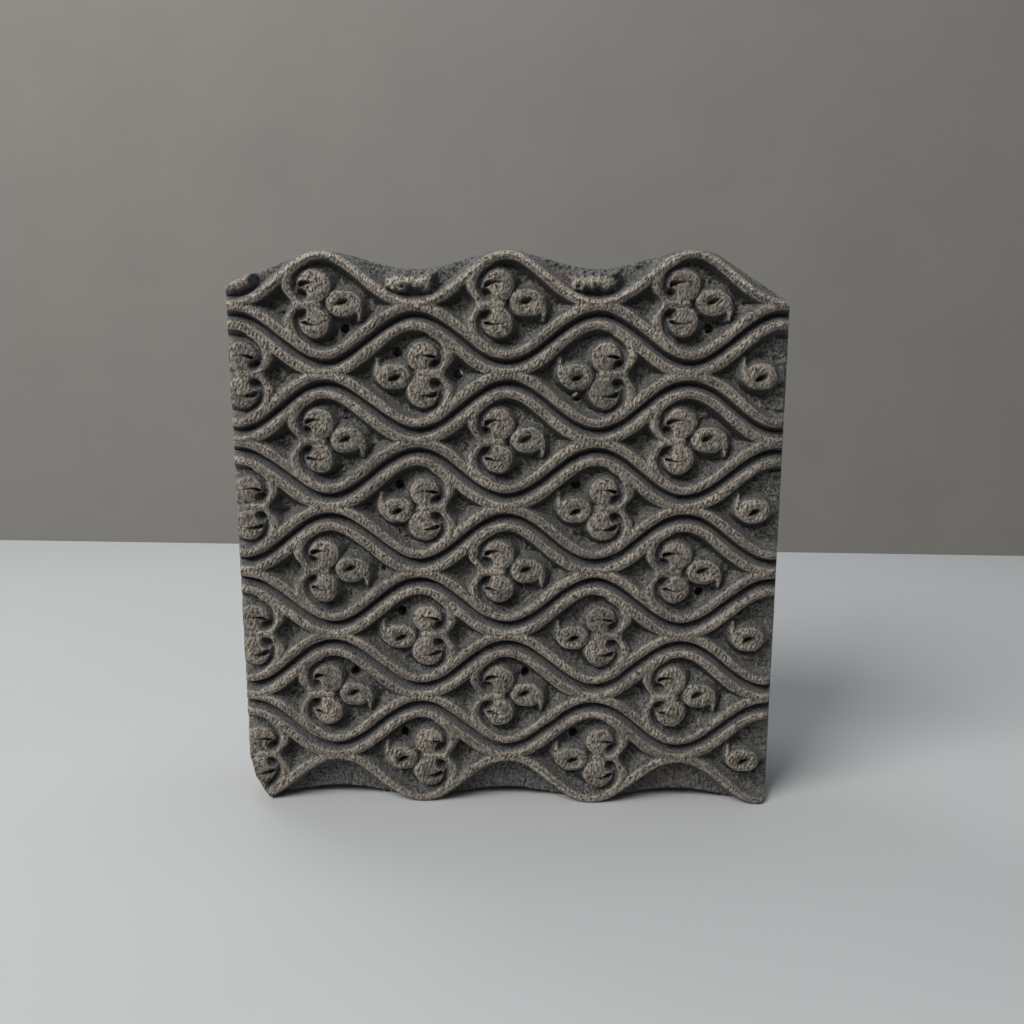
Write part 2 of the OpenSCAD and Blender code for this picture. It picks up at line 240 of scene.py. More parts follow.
def closed_slab(grid: Array, rings: list[Array], turned: bool) -> tuple[Array, Faces]:
    """Closes a carved grid with side walls and a flat lid.

    The grid has x along its first index and z along its second. Its rim is followed right along the lower
    edge, up, left along the upper edge and down. Each ring has the same number of points as the rim and
    carries it further back, and the last ring is closed by strips from its lower to its upper line.

    Args:
        grid: Points of the carved side, shape (across, up, 3).
        rings: Points of the rings behind the rim, in order, shape (rim, 3) each.
        turned: True if the carved side faces +Y instead of -Y.

    Returns:
        All points, and the faces as lists of point numbers.
    """
    across, up = grid.shape[:2]
    number = np.arange(across * up).reshape(across, up)
    quads = np.stack([number[:-1, :-1], number[1:, :-1], number[1:, 1:], number[:-1, 1:]], -1)
    faces = quads.reshape(-1, 4).tolist()
    loop = rim(number)
    count = len(loop)
    for k in range(len(rings)):
        behind = across * up + k * count + np.arange(count)
        faces += np.stack([loop, behind, np.roll(behind, -1), np.roll(loop, -1)], -1).tolist()
        loop = behind
    low = loop[:across]
    right = loop[across - 1:across + up - 1]
    high = loop[across + up - 2:2 * across + up - 2][::-1]
    left = np.concatenate([low[:1], loop[2 * across + up - 2:][::-1], high[:1]])
    faces += np.stack([low[1:-2], high[1:-2], high[2:-1], low[2:-1]], -1).tolist()
    faces.append(np.concatenate([left, high[1:2], low[1:2]]).tolist())
    faces.append(np.concatenate([low[-2:-1], high[-2:-1], right[::-1]]).tolist())
    if turned:
        faces = [face[::-1] for face in faces]
    return np.concatenate([grid.reshape(-1, 3), *rings]), faces


def closed_tube(sections: Array) -> tuple[Array, Faces]:
    """Joins closed sections one after the other and closes both ends with a flat face.

    Args:
        sections: Points, shape (sections, points round, 3), each section counter-clockwise when looked at
            against the way along the path.

    Returns:
        All points, and the faces as lists of point numbers.
    """
    count, around = sections.shape[:2]
    number = np.arange(count * around).reshape(count, around)
    ahead = np.roll(number, -1, 1)
    faces = np.stack([number[:-1], ahead[:-1], ahead[1:], number[1:]], -1).reshape(-1, 4).tolist()
    faces += [number[0, ::-1].tolist(), number[-1].tolist()]
    return sections.reshape(-1, 3), faces


def joined(solids: list[tuple[Array, Faces]]) -> tuple[Array, Faces]:
    """Puts solids with the same number of points into one.

    Args:
        solids: Points and faces of each solid.

    Returns:
        All points, and all faces with their point numbers moved on.
    """
    count = len(solids[0][0])
    faces = [[n + k * count for n in face] for k, (_, sides) in enumerate(solids) for face in sides]
    return np.concatenate([points for points, _ in solids]), faces


def finished(piece: bpy.types.Object, material: bpy.types.Material, node: str) -> None:
    """Gives a piece its material and its place in the part.

    Args:
        piece: The piece.
        material: Its material.
        node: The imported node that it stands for.
    """
    piece.data.materials.clear()
    piece.data.materials.append(material)
    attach(piece, "root")
    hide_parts(node)
    LOG.info("%s stands for %s: %d faces", piece.name, node, len(piece.data.polygons))


# Materials


def linear(code: str) -> tuple[float, float, float, float]:
    """Turns an sRGB hex colour into linear values.

    Args:
        code: Six hex digits.

    Returns:
        Red, green, blue and an alpha of 1.
    """
    parts = [int(code[i:i + 2], 16) / 255.0 for i in (0, 2, 4)]
    red, green, blue = (p / 12.92 if p <= 0.04045 else ((p + 0.055) / 1.055) ** 2.4 for p in parts)
    return red, green, blue, 1.0


def per_metre(size_mm: float) -> float:
    """Texture scale that makes one feature the given size in millimetres."""
    return 1.0 / (size_mm * MM)


class Kind(Enum):
    """Kinds of node: type, fixed settings, inputs in the order they are given, and the output read."""

    PLACE = ("TexCoord", {}, (), "Object")
    MARK = ("Attribute", {}, (), "Fac")
    STRETCH = ("Mapping", {}, ("Vector", "Scale"), "Vector")
    SLANT = ("Mapping", {"vector_type": "TEXTURE"}, ("Vector", "Rotation", "Scale"), "Vector")
    NOISE = ("TexNoise", {}, ("Vector", "Scale", "Detail", "Roughness"), "Fac")
    RANGE = ("MapRange", {}, ("Value", "From Min", "From Max", "To Min", "To Max"), "Result")
    MIX = ("Mix", {"data_type": "RGBA"}, (0, 6, 7), 2)
    TIMES = ("Math", {"operation": "MULTIPLY"}, (0, 1), 0)
    TIMES_PLUS = ("Math", {"operation": "MULTIPLY_ADD"}, (0, 1, 2), 0)
    BUMP = ("Bump", {}, ("Height", "Strength", "Distance"), "Normal")
    WOOD = ("BsdfPrincipled", {}, ("Base Color", "Roughness", "Normal", "IOR"), "BSDF")
    METAL = ("BsdfPrincipled", {}, ("Base Color", "Roughness", "Normal", "Metallic"), "BSDF")
    MATT = ("BsdfPrincipled", {}, ("Base Color", "Roughness", "Specular IOR Level"), "BSDF")
    OUTPUT = ("OutputMaterial", {}, ("Surface",), None)


def add(tree: bpy.types.NodeTree, kind: Kind, *values: object, **settings: object) -> bpy.types.NodeSocket | None:
    """Adds a node with its settings, input values and links.

    Args:
        tree: Node tree that gets the node.
        kind: Kind of the node.
        *values: Values or output sockets for the kind's inputs, in order.
        **settings: Further values of the node's own properties.

    Returns:
        The output socket that the kind names.
    """
    name, fixed, inputs, output = kind.value
    node = tree.nodes.new("ShaderNode" + name)
    for setting, value in {**fixed, **settings}.items():
        setattr(node, setting, value)
    for key, value in zip(inputs, values):
        if isinstance(value, bpy.types.NodeSocket):
            tree.links.new(value, node.inputs[key])
        else:
            node.inputs[key].default_value = value
    return None if output is None else node.outputs[output]


def new_material(name: str) -> tuple[bpy.types.Material, bpy.types.NodeTree, bpy.types.NodeSocket]:
    """Makes a node material with nothing but the Object coordinates.

    Args:
        name: Name of the material.

    Returns:
        The material, its node tree and the coordinates.
    """
    material = bpy.data.materials.new(name)
    material.use_nodes = True
    tree = material.node_tree
    tree.nodes.clear()
    return material, tree, add(tree, Kind.PLACE)


@dataclass(frozen=True)
class CarvedHardwood:
    """Old dense hardwood, cut with chisels and drills, and worn on its printing tops.

    To the eye: near black under the ridges, where shade is painted into the colour, smooth grey in the
    grooves, and a dusty lighter grey-brown on the tops, which carry steep levelling scratches, rubbed edges
    and fine dark pores. The uncarved sides and the back show upright grain. Sizes are in millimetres, and a
    stretch is the scale along the grain.
    """

    wall: str = "3F4040"
    wall_light: str = "7A7A78"
    ground: str = "9C9A93"
    groove: str = "686A69"
    top: str = "48423D"
    top_light: str = "C6BBAB"
    # Colour of the pores, which also serves as the painted shade under the ridges
    pore: str = "1E1C1A"
    stain: str = "7D3F3A"
    grain: str = "3A3835"
    grain_light: str = "78746D"
    pore_size: float = 0.42
    pore_slant: float = 22.0
    pore_stretch: float = 2.6
    grit_size: float = 0.75
    fibre_size: float = 0.7
    fibre_stretch: float = 0.12
    band_size: float = 3.5
    band_stretch: float = 0.04
    blotch_size: float = 16.0
    bump_depth: float = 0.9

    def material(self) -> bpy.types.Material:
        """Builds the material.

        Returns:
            The material. It reads the point attributes worn, groove, deep, stroke, stain and plain, and the one
            that paints shade under the ridges.
        """
        material, tree, place = new_material("aged_carved_hardwood")
        worn, groove, deep, stroke, stain, dye, plain = (
            add(tree, Kind.MARK, attribute_name=mark)
            for mark in ("worn", "groove", "deep", "stroke", "stain", "dye", "plain"))

        # Blotches, fibres along the grain, grit and pores, the last two drawn coarser than real ones to show
        blotch = add(tree, Kind.NOISE, place, per_metre(self.blotch_size), 4.0, 0.6)
        along = add(tree, Kind.STRETCH, place, (1.0, 1.0, self.fibre_stretch))
        fibre = add(tree, Kind.NOISE, along, per_metre(self.fibre_size), 3.0, 0.65)
        grit = add(tree, Kind.NOISE, place, per_metre(self.grit_size), 3.0, 0.7)
        slanted = add(tree, Kind.SLANT, place, (0.0, math.radians(self.pore_slant), 0.0),
                      (1.0, 1.0, self.pore_stretch))
        pore = add(tree, Kind.NOISE, slanted, per_metre(self.pore_size), 2.0, 0.5)
        dots = add(tree, Kind.RANGE, pore, 0.58, 0.7)
        carved = add(tree, Kind.TIMES_PLUS, plain, -0.85, 1.0)
        pores = add(tree, Kind.TIMES, dots, carved)

        # Light wood in the levelling scratches and on the rubbed edges
        uneven = add(tree, Kind.RANGE, blotch, 0.3, 0.7, 0.5, 1.2)
        patchy = add(tree, Kind.TIMES, stroke, uneven)
        speckle = add(tree, Kind.RANGE, pore, 0.38, 0.6, 1.3, 0.4)
        strokes = add(tree, Kind.TIMES, patchy, speckle, use_clamp=True)

        # Colours of the carved wood below the tops: walls, dusty ground and smooth grooves
        dusty = add(tree, Kind.RANGE, grit, 0.38, 0.66)
        walls = add(tree, Kind.MIX, dusty, linear(self.wall), linear(self.wall_light))
        hollow = add(tree, Kind.TIMES, deep, dusty)
        grounds = add(tree, Kind.MIX, hollow, walls, linear(self.ground))
        smooth = add(tree, Kind.TIMES, groove, 0.6)
        lower = add(tree, Kind.MIX, smooth, grounds, linear(self.groove))

        # Grain of the uncarved sides: long bands, with the fibres over them
        upright = add(tree, Kind.STRETCH, place, (1.0, 1.0, self.band_stretch))
        bands = add(tree, Kind.NOISE, upright, per_metre(self.band_size), 6.0, 0.65)
        figure = add(tree, Kind.TIMES_PLUS, fibre, 0.6, bands)
        figured = add(tree, Kind.RANGE, figure, 0.6, 1.0)
        grain = add(tree, Kind.MIX, figured, linear(self.grain), linear(self.grain_light))
        sided = add(tree, Kind.MIX, plain, lower, grain)

        # Painted shade under the ridges, the worn tops, red stains and pores over all
        shaded = add(tree, Kind.MIX, dye, sided, linear(self.pore))
        tops = add(tree, Kind.MIX, strokes, linear(self.top), linear(self.top_light))
        topped = add(tree, Kind.MIX, worn, shaded, tops)
        faint = add(tree, Kind.TIMES, stain, 0.5)
        stained = add(tree, Kind.MIX, faint, topped, linear(self.stain))
        colour = add(tree, Kind.MIX, pores, stained, linear(self.pore))

        # Relief of fibres, pores and grit, and gloss that the worn tops have lost
        pitted = add(tree, Kind.TIMES_PLUS, pores, -0.8, fibre)
        gritty = add(tree, Kind.TIMES_PLUS, plain, -0.9, 1.2)
        height = add(tree, Kind.TIMES_PLUS, grit, gritty, pitted)
        bump = add(tree, Kind.BUMP, height, 1.0, self.bump_depth * MM)
        rubbed = add(tree, Kind.RANGE, fibre, 0.3, 0.7, 0.4, 0.56)
        rough = add(tree, Kind.TIMES_PLUS, worn, 0.25, rubbed)
        add(tree, Kind.OUTPUT, add(tree, Kind.WOOD, colour, rough, bump, WOOD_IOR))
        return material


@dataclass(frozen=True)
class HandledHardwood:
    """Old hardwood of the grip, planed and whittled, then darkened and polished by hands.

    To the eye: warm dark brown with fine streaks along the grain, glossier where hands rub.
    """

    dark: str = "32241A"
    light: str = "7C6146"
    streak_size: float = 1.6
    streak_stretch: float = 0.06
    blotch_size: float = 22.0
    bump_depth: float = 0.3

    def material(self) -> bpy.types.Material:
        """Builds the material.

        Returns:
            The material, with its grain along X.
        """
        material, tree, place = new_material("handled_hardwood")
        along = add(tree, Kind.STRETCH, place, (self.streak_stretch, 1.0, 1.0))
        streak = add(tree, Kind.NOISE, along, per_metre(self.streak_size), 6.0, 0.62)
        blotch = add(tree, Kind.NOISE, place, per_metre(self.blotch_size), 3.0)
        tone = add(tree, Kind.TIMES_PLUS, blotch, 0.7, streak)
        share = add(tree, Kind.RANGE, tone, 0.6, 1.15)
        colour = add(tree, Kind.MIX, share, linear(self.dark), linear(self.light))
        rough = add(tree, Kind.RANGE, blotch, 0.35, 0.65, 0.38, 0.6)
        bump = add(tree, Kind.BUMP, streak, 0.8, self.bump_depth * MM)
        add(tree, Kind.OUTPUT, add(tree, Kind.WOOD, colour, rough, bump, WOOD_IOR))
        return material


@dataclass(frozen=True)
class ForgedIron:
    """Hand-forged wrought iron, black from the fire, with a little rust.

    To the eye: dark, half-matt metal with brown rust in the low spots.
    """

    iron: str = "4C4A48"
    rust: str = "5E3A27"
    spot_size: float = 1.6
    bump_depth: float = 0.2

    def material(self) -> bpy.types.Material:
        """Builds the material.

        Returns:
            The material.
        """
        material, tree, place = new_material("forged_iron")
        spots = add(tree, Kind.NOISE, place, per_metre(self.spot_size), 5.0, 0.65)
        rusty = add(tree, Kind.RANGE, spots, 0.54, 0.7)
        colour = add(tree, Kind.MIX, rusty, linear(self.iron), linear(self.rust))
        metallic = add(tree, Kind.RANGE, rusty, 0.0, 1.0, 0.9, 0.1)
        rough = add(tree, Kind.RANGE, rusty, 0.0, 1.0, 0.45, 0.85)
        bump = add(tree, Kind.BUMP, spots, 0.7, self.bump_depth * MM)
        add(tree, Kind.OUTPUT, add(tree, Kind.METAL, colour, rough, bump, metallic))
        return material


@dataclass(frozen=True)
class MattSheet:
    """Plain matt surface of the floor or the backdrop, with a faint cloudiness.

    To the eye: one even pale colour with hardly any gloss.
    """

    name: str
    colour: str
    cloud: str
    cloud_size: float

    def material(self) -> bpy.types.Material:
        """Builds the material.

        Returns:
            The material.
        """
        material, tree, place = new_material(self.name)
        clouds = add(tree, Kind.NOISE, place, per_metre(self.cloud_size), 5.0, 0.6)
        colour = add(tree, Kind.MIX, clouds, linear(self.colour), linear(self.cloud))
        add(tree, Kind.OUTPUT, add(tree, Kind.MATT, colour, 0.85, 0.2))
        return material


# The carved block


class Disc(NamedTuple):
    """A disc of the motif: its middle and its radius."""

    u: float
    v: float
    r: float

    def away(self, u: Array, v: Array) -> Array:
        """Distance from the middle."""
        return np.hypot(u - self.u, v - self.v)


@dataclass(frozen=True)
class OgeePattern:
    """Drawing of the printing face: rows of ogee cells between pairs of wave ridges.

    Corners give a width and a height, brackets the directions of their ends in degrees, the curled lobe its
    disc and half the line along which that is drawn out, and vents their row, cell and place in the cell.
    """

    cell_w: float = 50.0
    cells: int = 3
    rows: int = 8
    pitch: float = 18.6
    ridge_w: float = 2.8
    channel_w: float = 2.2
    meeting_gap: float = 0.6
    edge_trim: float = 0.35
    upper_scallop: float = 4.6
    lower_scallop: float = 3.2
    margin: float = 0.75
    flare: float = 2.2
    flare_depth: float = 8.0
    side_ease: float = 1.4
    upper_corner: Pair = (21.0, 9.6)
    right_corner: Pair = (20.5, 14.2)
    right_round: Pair = (5.0, 2.2)
    lower_corner: Pair = (7.5, 14.0)
    upper_lobe: Disc = Disc(-2.0, 5.0, 4.3)
    lower_lobe: Disc = Disc(-2.2, -4.7, 4.1)
    upper_bracket: Pair = (112.0, 220.0)
    lower_bracket: Pair = (140.0, 244.0)
    moat_w: float = 1.8
    bracket_w: float = 2.5
    neck_w: float = 1.8
    curl: Disc = Disc(5.7, 0.6, 3.5)
    curl_line: float = 1.0
    tail_root: Disc = Disc(9.0, 0.9, 1.6)
    tail_tip: Disc = Disc(10.2, -4.1, 0.08)
    hollows: tuple[Disc, Disc] = (Disc(-6.0, 2.4, 2.2), Disc(-6.2, -2.0, 2.3))
    leftover_l: float = 11.0
    vent_d: float = 2.6
    vent_place: Pair = (5.4, 6.2)
    pocket_x: float = 11.6
    vents: tuple[tuple[int, int, int], ...] = (
        (0, 0, -1), (0, 2, -1), (1, 1, -1), (1, 1, 0), (1, 2, 1), (3, 1, -1), (3, 2, -1),
        (4, 2, -1), (5, 1, -1), (6, 0, 1), (6, 1, 1), (7, 1, -1), (7, 2, -1))

    @property
    def ridge_off(self) -> float:
        """Distance of a ridge from the middle of the channel beside it."""
        return (self.ridge_w + self.channel_w) / 2

    @property
    def rise(self) -> float:
        """Rise of a wave above its mean."""
        return self.pitch / 2 - self.ridge_off - self.meeting_gap / 2

    @property
    def reach(self) -> float:
        """Distance from the middle of the top row to the upper edge of the block."""
        return self.pitch / 2 + self.rise - self.ridge_off + self.ridge_w / 2 - self.edge_trim

    @property
    def face_half(self) -> float:
        """Half the width of the printing face."""
        return self.cells * self.cell_w / 2 + self.margin

    @property
    def half(self) -> float:
        """Half the width of the block behind the relief."""
        return self.face_half + self.flare

    @property
    def height(self) -> float:
        """Height of the block."""
        return (self.rows - 1) * self.pitch + 2 * self.reach

    def half_at(self, depth: Array) -> Array:
        """Half the width of the block at a depth below the printing face."""
        return self.face_half + self.flare * unit(depth / self.flare_depth)

    def near_side(self, x: Array) -> Array:
        """Eases from 0 to 1 over the last part of the printing face before its sides."""
        return smooth_step(self.face_half - self.side_ease, self.face_half, np.abs(x))

    def outline_x(self, x: Array) -> Array:
        """Place on the block's outline of a place across the printing face."""
        return x + np.sign(x) * self.flare * self.near_side(x)

    def row_z(self, row: int) -> float:
        """Height of the middle of a row, counted down from the top."""
        return self.height - self.reach - row * self.pitch

    def turn(self, row: int) -> int:
        """1 for a plain row and -1 for one that is shifted by half a cell and turned round."""
        return -1 if row % 2 else 1

    def row_start(self, row: int) -> float:
        """Left end of the first cell of a row."""
        return -self.cell_w * (self.cells + row % 2) / 2

    def phase(self, row: int, x: Array) -> Array:
        """Angle along the waves of a row, 0 in the middle of a cell."""
        return FULL_TURN * (x - self.row_start(row)) / self.cell_w - np.pi

    def run(self, row: int, x: Array) -> Array:
        """Length of a wave for each millimetre across: the root of 1 plus its squared slope."""
        return np.hypot(1.0, self.rise * np.sin(self.phase(row, x)) * FULL_TURN / self.cell_w)

    def wave_z(self, row: int, wave: Wave, x: Array) -> Array:
        """Height of a wave: the channel's cosine line, less the ridge's distance square to it."""
        off = self.ridge_off * self.run(row, x)
        return self.row_z(row) + wave * (self.pitch / 2 + self.rise * np.cos(self.phase(row, x)) - off)

    def seam_z(self, row: int, x: Array) -> Array:
        """Height of the middle of the channel below a row."""
        return self.row_z(row) - self.pitch / 2 - self.rise * np.cos(self.phase(row, x))

    def upper_edge(self, x: Array) -> Array:
        """Upper edge of the block at x.

        Args:
            x: Places across the block.

        Returns:
            Scallops of half a cosine between the slanted corners, each a straight line to the block's side,
            which on the right is rounded off.
        """
        def scallop(place: Array) -> Array:
            """Height of the scallops."""
            return self.height - self.upper_scallop * (1 - np.cos(self.phase(0, place))) / 2

        def slant(start: float, past: Array, corner: Pair) -> Array:
            """Height of a straight corner at a distance past its start."""
            top = scallop(np.array(start))
            return top - past / corner[0] * (top - self.height + corner[1])

        left, right = -self.half + self.upper_corner[0], self.half - self.right_corner[0]
        rounding = self.right_round[1] * fade((self.half - x) / self.right_round[0]) ** 2
        right_cut = slant(right, x - right, self.right_corner) - rounding
        return np.where(x < left, slant(left, left - x, self.upper_corner),
                        np.where(x > right, right_cut, scallop(x)))

    def lower_edge(self, x: Array) -> Array:
        """Lower edge of the block at x.

        Args:
            x: Places across the block.

        Returns:
            Shallow scallops of half a cosine between flat feet, and a slanted corner on the left.
        """
        scallop = np.maximum(self.lower_scallop * (1 + np.cos(self.phase(0, x))) / 2 - self.edge_trim, 0.0)
        slant = self.lower_corner[1] * (1 - (x + self.half) / self.lower_corner[0])
        return np.maximum(scallop, slant)

    def vent_points(self, row: int) -> list[Pair]:
        """Places of the vents of a row as x and z."""
        sign, first = self.turn(row), self.row_start(row)
        return [(first + (cell + 0.5) * self.cell_w + sign * (self.vent_place[0] if up else -self.pocket_x),
                 self.row_z(row) + sign * up * self.vent_place[1]) for r, cell, up in self.vents if r == row]


@dataclass(frozen=True)
class Spots:
    """Points of the drawing near one row: places across and heights."""

    row: int
    x: Array
    z: Array

    def noise(self, hand: Hand, step: int = 0) -> Array:
        """Unevenness at the points."""
        return hand.at(self.x, self.z, step)


@dataclass(frozen=True)
class Carving:
    """How the drawing was cut: drafted walls, rounded tops, grooves, ground, slits and tool marks.

    A slit gives its rise in the lobe, its gape at the rim and its bend, and a stain its place and size. A pair
    whose name ends in from gives the depths, or the reach, over which what it names comes in.
    """

    pattern: OgeePattern = field(default_factory=OgeePattern)
    ridge_top: float = 2.2
    ridge_swell: float = 0.9
    trim: float = 0.1
    wall_slope: float = 3.0
    under_slope: float = 3.6
    edge_round: float = 0.8
    channel_depth: float = 5.2
    ground_depth: float = 7.0
    ground_rise: float = 1.6
    deepest: float = 7.8
    ground_fillet: float = 1.6
    join_fillet: float = 0.7
    tail_fillet: float = 0.5
    hollow_fillet: float = 0.4
    slit_fillet: float = 0.2
    pinch_in: float = 0.75
    pinch_thin: float = 0.4
    tail_bow: float = 0.5
    upper_slit: tuple[float, float, float] = (0.95, 1.05, 0.07)
    lower_slit: tuple[float, float, float] = (-0.35, 0.65, -0.1)
    slit_half: float = 0.16
    wedge_depth: Pair = (0.5, 3.5)
    tongue_slope: float = 0.5
    smile_half: float = 0.28
    smile_depth: float = 0.8
    fall_slope: float = 0.18
    eye_tilt: float = 22.0
    eye_size: Pair = (1.9, 0.8)
    eye_depth: float = 2.6
    dish_size: Pair = (3.1, 2.7)
    dish_depth: float = 1.6
    whorl_half: float = 0.6
    whorl_depth: float = 0.75
    waver: float = 0.28
    steady_edge: float = 5.0
    scratch_leans: Pair = (62.0, 97.0)
    stroke_lean: float = 70.0
    stroke_pitch: float = 1.1
    stroke_depth: float = 0.16
    pit_depth: float = 0.3
    corner_lip: float = 2.0
    edge_worn: Pair = (0.6, 1.0)
    ends_worn: Pair = (1.3, 1.8)
    unworn_from: Pair = (0.3, 2.2)
    groove_from: Pair = (0.8, 2.4)
    deep_from: Pair = (1.5, 6.0)
    # Painted shade: depths and reach over which the walls under the ridges are darkened, and how much
    painted_shade_from: Pair = (0.8, 2.6)
    painted_shade_reach_from: Pair = (-3.2, -1.6)
    painted_shade_share: float = 0.75
    stain_spots: tuple[tuple[float, float, float], ...] = (
        (14.5, 151.0, 2.6), (43.5, 150.0, 2.2), (50.0, 7.0, 3.0))

    def drift(self, at: Spots) -> tuple[Array, Array]:
        """How far the hand went off the drawing, not at all at the edges of the block.

        Args:
            at: Points of the drawing.

        Returns:
            The shifts along x and z.
        """
        p = self.pattern
        gaps = (p.face_half - np.abs(at.x), p.upper_edge(at.x) - at.z, at.z - p.lower_edge(at.x))
        size = self.waver * math.prod(smooth_step(0.0, self.steady_edge, gap) for gap in gaps)
        return size * at.noise(Hand.DRIFT_X), size * at.noise(Hand.DRIFT_Z)

    def ridge_form(self, at: Spots) -> Array:
        """Reach of the two ridges of a row.

        Args:
            at: Points of the drawing.

        Returns:
            Millimetres inside the nearer ridge, negative outside: half the top's width, which swells where the
            wave is steep, less the distance square to the wave.
        """
        p = self.pattern
        lean = 1.0 / p.run(at.row, at.x)
        half = self.ridge_top / 2 + self.ridge_swell * (1.0 - lean) + at.noise(Hand.RIDGE, at.row)
        upper, lower = (half - np.abs(at.z - p.wave_z(at.row, wave, at.x)) * lean for wave in Wave)
        return soft_max(upper, lower, self.join_fillet)

    def cell_places(self, at: Spots) -> tuple[Array, Array, Array]:
        """Places measured from the middle of the nearest cell of a row, turned with the row.

        Args:
            at: Points of the drawing.

        Returns:
            Places along and up the motif, and -1 in a half cell on the left, 1 in one on the right, else 0.
        """
        p = self.pattern
        first = p.row_start(at.row) + p.cell_w / 2
        middle = first + p.cell_w * np.round((at.x - first) / p.cell_w)
        half_cell = np.trunc(middle / (p.face_half - 2 * p.margin))
        return p.turn(at.row) * (at.x - middle), p.turn(at.row) * (at.z - p.row_z(at.row)), half_cell

    def arc_form(self, u: Array, v: Array, middle: Pair, radius: Array | float, turn: Pair,
                 half: Array | float) -> Array:
        """Reach of a band along an arc with round ends.

        Args:
            u: Places along the motif.
            v: Places up the motif.
            middle: Middle of the arc.
            radius: Radius of the arc, which may change along it.
            turn: Directions of its two ends in degrees.
            half: Half the width of the band.

        Returns:
            Half the width less the distance to the arc, or to its nearer end past the ends.
        """
        du, dv = u - middle[0], v - middle[1]
        centre = math.radians(sum(turn) / 2)
        spread = math.radians(turn[1] - turn[0]) / 2
        off = np.angle(np.exp(1j * (np.arctan2(dv, du) - centre)))
        near = centre + np.clip(off, -spread, spread)
        return half - np.hypot(du - radius * np.cos(near), dv - radius * np.sin(near))

    def motif_form(self, at: Spots) -> Array:
        """Reach of the lobes, bracket, neck, curled lobe and tail of the nearest cell of a row.

        Args:
            at: Points of the drawing.

        Returns:
            Millimetres inside the nearest form, negative outside. Lobes are discs, the bracket two bands along
            arcs that are pinched where they meet, the neck a bar, the curled lobe a disc drawn out along a
            short line and the tail a bowed wedge. The half cells on the right have no pair of lobes, and those
            on the left no curled lobe.
        """
        p = self.pattern
        u, v, half_cell = self.cell_places(at)
        u, v = u + at.noise(Hand.MOTIF_U), v + at.noise(Hand.MOTIF_V)
        above, below, curl = p.upper_lobe, p.lower_lobe, p.curl
        lobes = np.maximum(*(lobe.r - self.trim - lobe.away(u, v) for lobe in (above, below)))
        for hollow in p.hollows:
            lobes = soft_min(lobes, hollow.away(u, v) - hollow.r, self.hollow_fillet)
        off, half = p.moat_w + p.bracket_w / 2, p.bracket_w / 2 - self.trim
        pinch = smooth_step(4.6, 1.0, np.abs(v - 0.15))
        bracket = np.maximum(*(
            self.arc_form(u, v, lobe[:2], lobe.r + off - self.pinch_in * pinch, turn, half - self.pinch_thin * pinch)
            for lobe, turn in ((above, p.upper_bracket), (below, p.lower_bracket))))
        neck_v = (above.v - above.r + below.v + below.r) / 2
        bar = np.clip(u, above.u - above.r - 0.6, above.u + 0.6)
        neck = p.neck_w / 2 + self.trim - np.hypot(u - bar, v - neck_v)
        pair = soft_max(soft_max(lobes, neck, self.join_fillet), bracket, self.join_fillet)
        line = np.clip(u, curl.u - p.curl_line, curl.u + p.curl_line)
        curled = curl.r - self.trim - np.hypot(u - line, v - curl.v)
        root, tip = p.tail_root, p.tail_tip
        du, dv = tip.u - root.u, tip.v - root.v
        way = unit(((u - root.u) * du + (v - root.v) * dv) / (du ** 2 + dv ** 2))
        bow = self.tail_bow * np.sin(np.pi * way)
        tail = root.r + (tip.r - root.r) * way - np.hypot(u - root.u - du * way - bow, v - root.v - dv * way)
        curled = soft_max(curled, tail, self.tail_fillet)
        return np.maximum(np.where(half_cell > 0, FAR_OUTSIDE, pair), np.where(half_cell < 0, FAR_OUTSIDE, curled))

    def slit_depth(self, at: Spots) -> Array:
        """Depth of the slits in the lobes of the nearest cell of a row.

        Args:
            at: Points of the drawing.

        Returns:
            A wedge from the bracket's side into each lobe of the pair, which runs out in a fine smile in the
            lower one, a tongue that slopes down between that wedge and the neck, and the slanted eye, the
            dish round it, the whorl and the falling side of the curled lobe.
        """
        p = self.pattern
        u, v, half_cell = self.cell_places(at)
        u, v = u + at.noise(Hand.SLIT_U), v + at.noise(Hand.SLIT_V)
        below, curl = p.lower_lobe, p.curl
        cuts = np.zeros_like(u)
        for lobe, (rise, gape, bend) in ((p.upper_lobe, self.upper_slit), (below, self.lower_slit)):
            wide = smooth_step(lobe.u + 1.0, lobe.u - lobe.r, u)
            line = lobe.v + rise - bend * (u - lobe.u - 0.5) ** 2 + 0.5 * bend * lobe.r * lobe.r * wide
            half = self.slit_half + gape * wide
            wedge = unit(1.5 * (1.0 - np.abs(v - line) / half)) * (self.wedge_depth[0] + self.wedge_depth[1] * wide)
            inner = smooth_step(0.3, -0.5, (v - line) * np.sign(lobe.v))
            tongue = self.tongue_slope * np.clip(lobe.u - 0.2 - u, 0.0, 4.0) * inner
            past = smooth_step(lobe.u + 2.4, lobe.u + 1.0, u) * smooth_step(0.4, -0.2, lobe.away(u, v) - lobe.r)
            cuts = np.maximum(cuts, np.maximum(wedge, tongue) * past)
        smile = self.arc_form(u, v, (below.u + 0.2, below.v + 2.7), 3.2, (225.0, 320.0), self.smile_half)
        cuts = np.where(half_cell > 0, 0.0, np.maximum(cuts, self.smile_depth * unit(smile / self.smile_half)))
        du, dv = u - curl.u + 0.2, v - curl.v - 0.3
        cos, sin = math.cos(math.radians(self.eye_tilt)), math.sin(math.radians(self.eye_tilt))
        lid = np.hypot((du * cos + dv * sin) / self.eye_size[0], (-du * sin + dv * cos) / self.eye_size[1])
        eye = self.eye_depth * fade(lid) ** 0.7
        dish = self.dish_depth * fade(np.hypot(du / self.dish_size[0], (v - curl.v - 0.2) / self.dish_size[1]))
        fall = self.fall_slope * np.clip(u - curl.u - 0.8, 0.0, 3.0)
